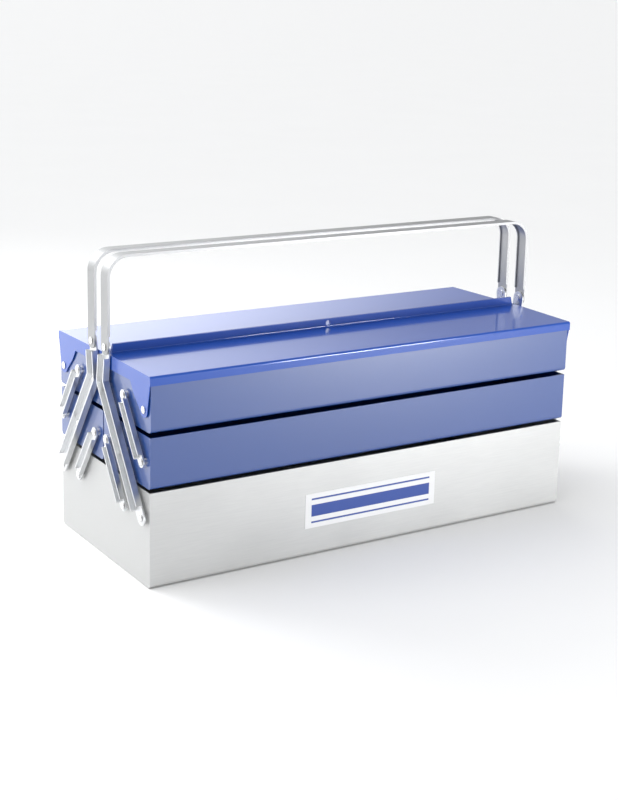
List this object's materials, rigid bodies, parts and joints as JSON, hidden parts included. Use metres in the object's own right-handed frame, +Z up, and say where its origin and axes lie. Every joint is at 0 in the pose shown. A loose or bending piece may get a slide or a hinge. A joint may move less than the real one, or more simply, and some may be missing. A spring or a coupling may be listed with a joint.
{
  "type": "cantilever toolbox",
  "caption": "Cantilever steel toolbox: deep bottom box, stacked trays that spread on riveted links, hinged lids and folding channel handles.",
  "frame": {"origin": "centre of the bottom box's base, on the surface it stands on", "axes": "+X along the box to its right end, +Y from the front to the rear, +Z up"},
  "size_m": [0.58, 0.234, 0.341],
  "materials": {
    "galvanised_sheet": "smooth pale grey galvanised sheet, fine directional grain",
    "blue_paint": "glossy deep blue enamel over steel sheet",
    "plated_steel": "bright zinc plate, faint brushed grain",
    "bright_rivet": "bright plated rivet heads",
    "label_film": "satin white label with plain blue bars"
  },
  "bodies": {
    "box": {"box_wrap": "galvanised_sheet", "box_end_left": "galvanised_sheet", "box_end_right": "galvanised_sheet", "front_label": "label_film", "box_rivets": "bright_rivet"},
    "front_arms": {"front_arm_left": "plated_steel", "front_arm_right": "plated_steel", "front_handle_rivets": "bright_rivet"},
    "front_middle_tray": {"front_middle_tray": "blue_paint", "front_middle_rivets": "bright_rivet"},
    "front_upper_tray": {"front_upper_tray": "blue_paint", "front_upper_rivets": "bright_rivet"},
    "front_lower_links": {"front_lower_link_left": "plated_steel", "front_lower_link_right": "plated_steel"},
    "front_upper_links": {"front_upper_link_left": "plated_steel", "front_upper_link_right": "plated_steel"},
    "front_lid": {"front_lid": "blue_paint", "front_lid_ends": "blue_paint"},
    "front_handle": {"front_handle": "plated_steel"},
    "rear_arms": {"rear_arm_left": "plated_steel", "rear_arm_right": "plated_steel", "rear_handle_rivets": "bright_rivet"},
    "rear_middle_tray": {"rear_middle_tray": "blue_paint", "rear_middle_rivets": "bright_rivet"},
    "rear_upper_tray": {"rear_upper_tray": "blue_paint", "rear_upper_rivets": "bright_rivet"},
    "rear_lower_links": {"rear_lower_link_left": "plated_steel", "rear_lower_link_right": "plated_steel"},
    "rear_upper_links": {"rear_upper_link_left": "plated_steel", "rear_upper_link_right": "plated_steel"},
    "rear_lid": {"rear_lid": "blue_paint", "rear_lid_ends": "blue_paint"},
    "rear_handle": {"rear_handle": "plated_steel"}
  },
  "joints": [
    {"name": "front_spread", "type": "hinge", "parent": "box", "child": "front_arms", "pos_m": [0, -0.101, 0.076], "axis": [1, 0, 0], "range_deg": [0, 64]},
    {"name": "front_middle_tray_level", "type": "hinge", "parent": "front_arms", "child": "front_middle_tray", "pos_m": [0, -0.058, 0.137], "axis": [1, 0, 0], "range_deg": [-64, 0]},
    {"name": "front_upper_tray_level", "type": "hinge", "parent": "front_arms", "child": "front_upper_tray", "pos_m": [0, -0.015, 0.198], "axis": [1, 0, 0], "range_deg": [-64, 0]},
    {"name": "front_lower_links_swing", "type": "hinge", "parent": "box", "child": "front_lower_links", "pos_m": [0, -0.058, 0.076], "axis": [1, 0, 0], "range_deg": [0, 64]},
    {"name": "front_upper_links_swing", "type": "hinge", "parent": "front_middle_tray", "child": "front_upper_links", "pos_m": [0, -0.101, 0.137], "axis": [1, 0, 0], "range_deg": [0, 64]},
    {"name": "front_lid_open", "type": "hinge", "parent": "front_upper_tray", "child": "front_lid", "pos_m": [0, -0.102, 0.193], "axis": [1, 0, 0], "range_deg": [0, 110]},
    {"name": "front_handle_fold", "type": "hinge", "parent": "front_arms", "child": "front_handle", "pos_m": [0, -0.017, 0.241], "axis": [-1, 0, 0], "range_deg": [-90, 0]},
    {"name": "rear_spread", "type": "hinge", "parent": "box", "child": "rear_arms", "pos_m": [0, 0.101, 0.076], "axis": [-1, 0, 0], "range_deg": [0, 64]},
    {"name": "rear_middle_tray_level", "type": "hinge", "parent": "rear_arms", "child": "rear_middle_tray", "pos_m": [0, 0.058, 0.137], "axis": [-1, 0, 0], "range_deg": [-64, 0]},
    {"name": "rear_upper_tray_level", "type": "hinge", "parent": "rear_arms", "child": "rear_upper_tray", "pos_m": [0, 0.015, 0.198], "axis": [-1, 0, 0], "range_deg": [-64, 0]},
    {"name": "rear_lower_links_swing", "type": "hinge", "parent": "box", "child": "rear_lower_links", "pos_m": [0, 0.058, 0.076], "axis": [-1, 0, 0], "range_deg": [0, 64]},
    {"name": "rear_upper_links_swing", "type": "hinge", "parent": "rear_middle_tray", "child": "rear_upper_links", "pos_m": [0, 0.101, 0.137], "axis": [-1, 0, 0], "range_deg": [0, 64]},
    {"name": "rear_lid_open", "type": "hinge", "parent": "rear_upper_tray", "child": "rear_lid", "pos_m": [0, 0.102, 0.193], "axis": [-1, 0, 0], "range_deg": [0, 110]},
    {"name": "rear_handle_fold", "type": "hinge", "parent": "rear_arms", "child": "rear_handle", "pos_m": [0, 0.017, 0.241], "axis": [1, 0, 0], "range_deg": [-90, 0]}
  ],
  "couplings": [
    {"joint": "front_middle_tray_level", "follows": "front_spread", "ratio": -1},
    {"joint": "front_upper_tray_level", "follows": "front_spread", "ratio": -1},
    {"joint": "front_lower_links_swing", "follows": "front_spread", "ratio": 1},
    {"joint": "front_upper_links_swing", "follows": "front_spread", "ratio": 1},
    {"joint": "rear_middle_tray_level", "follows": "rear_spread", "ratio": -1},
    {"joint": "rear_upper_tray_level", "follows": "rear_spread", "ratio": -1},
    {"joint": "rear_lower_links_swing", "follows": "rear_spread", "ratio": 1},
    {"joint": "rear_upper_links_swing", "follows": "rear_spread", "ratio": 1}
  ]
}
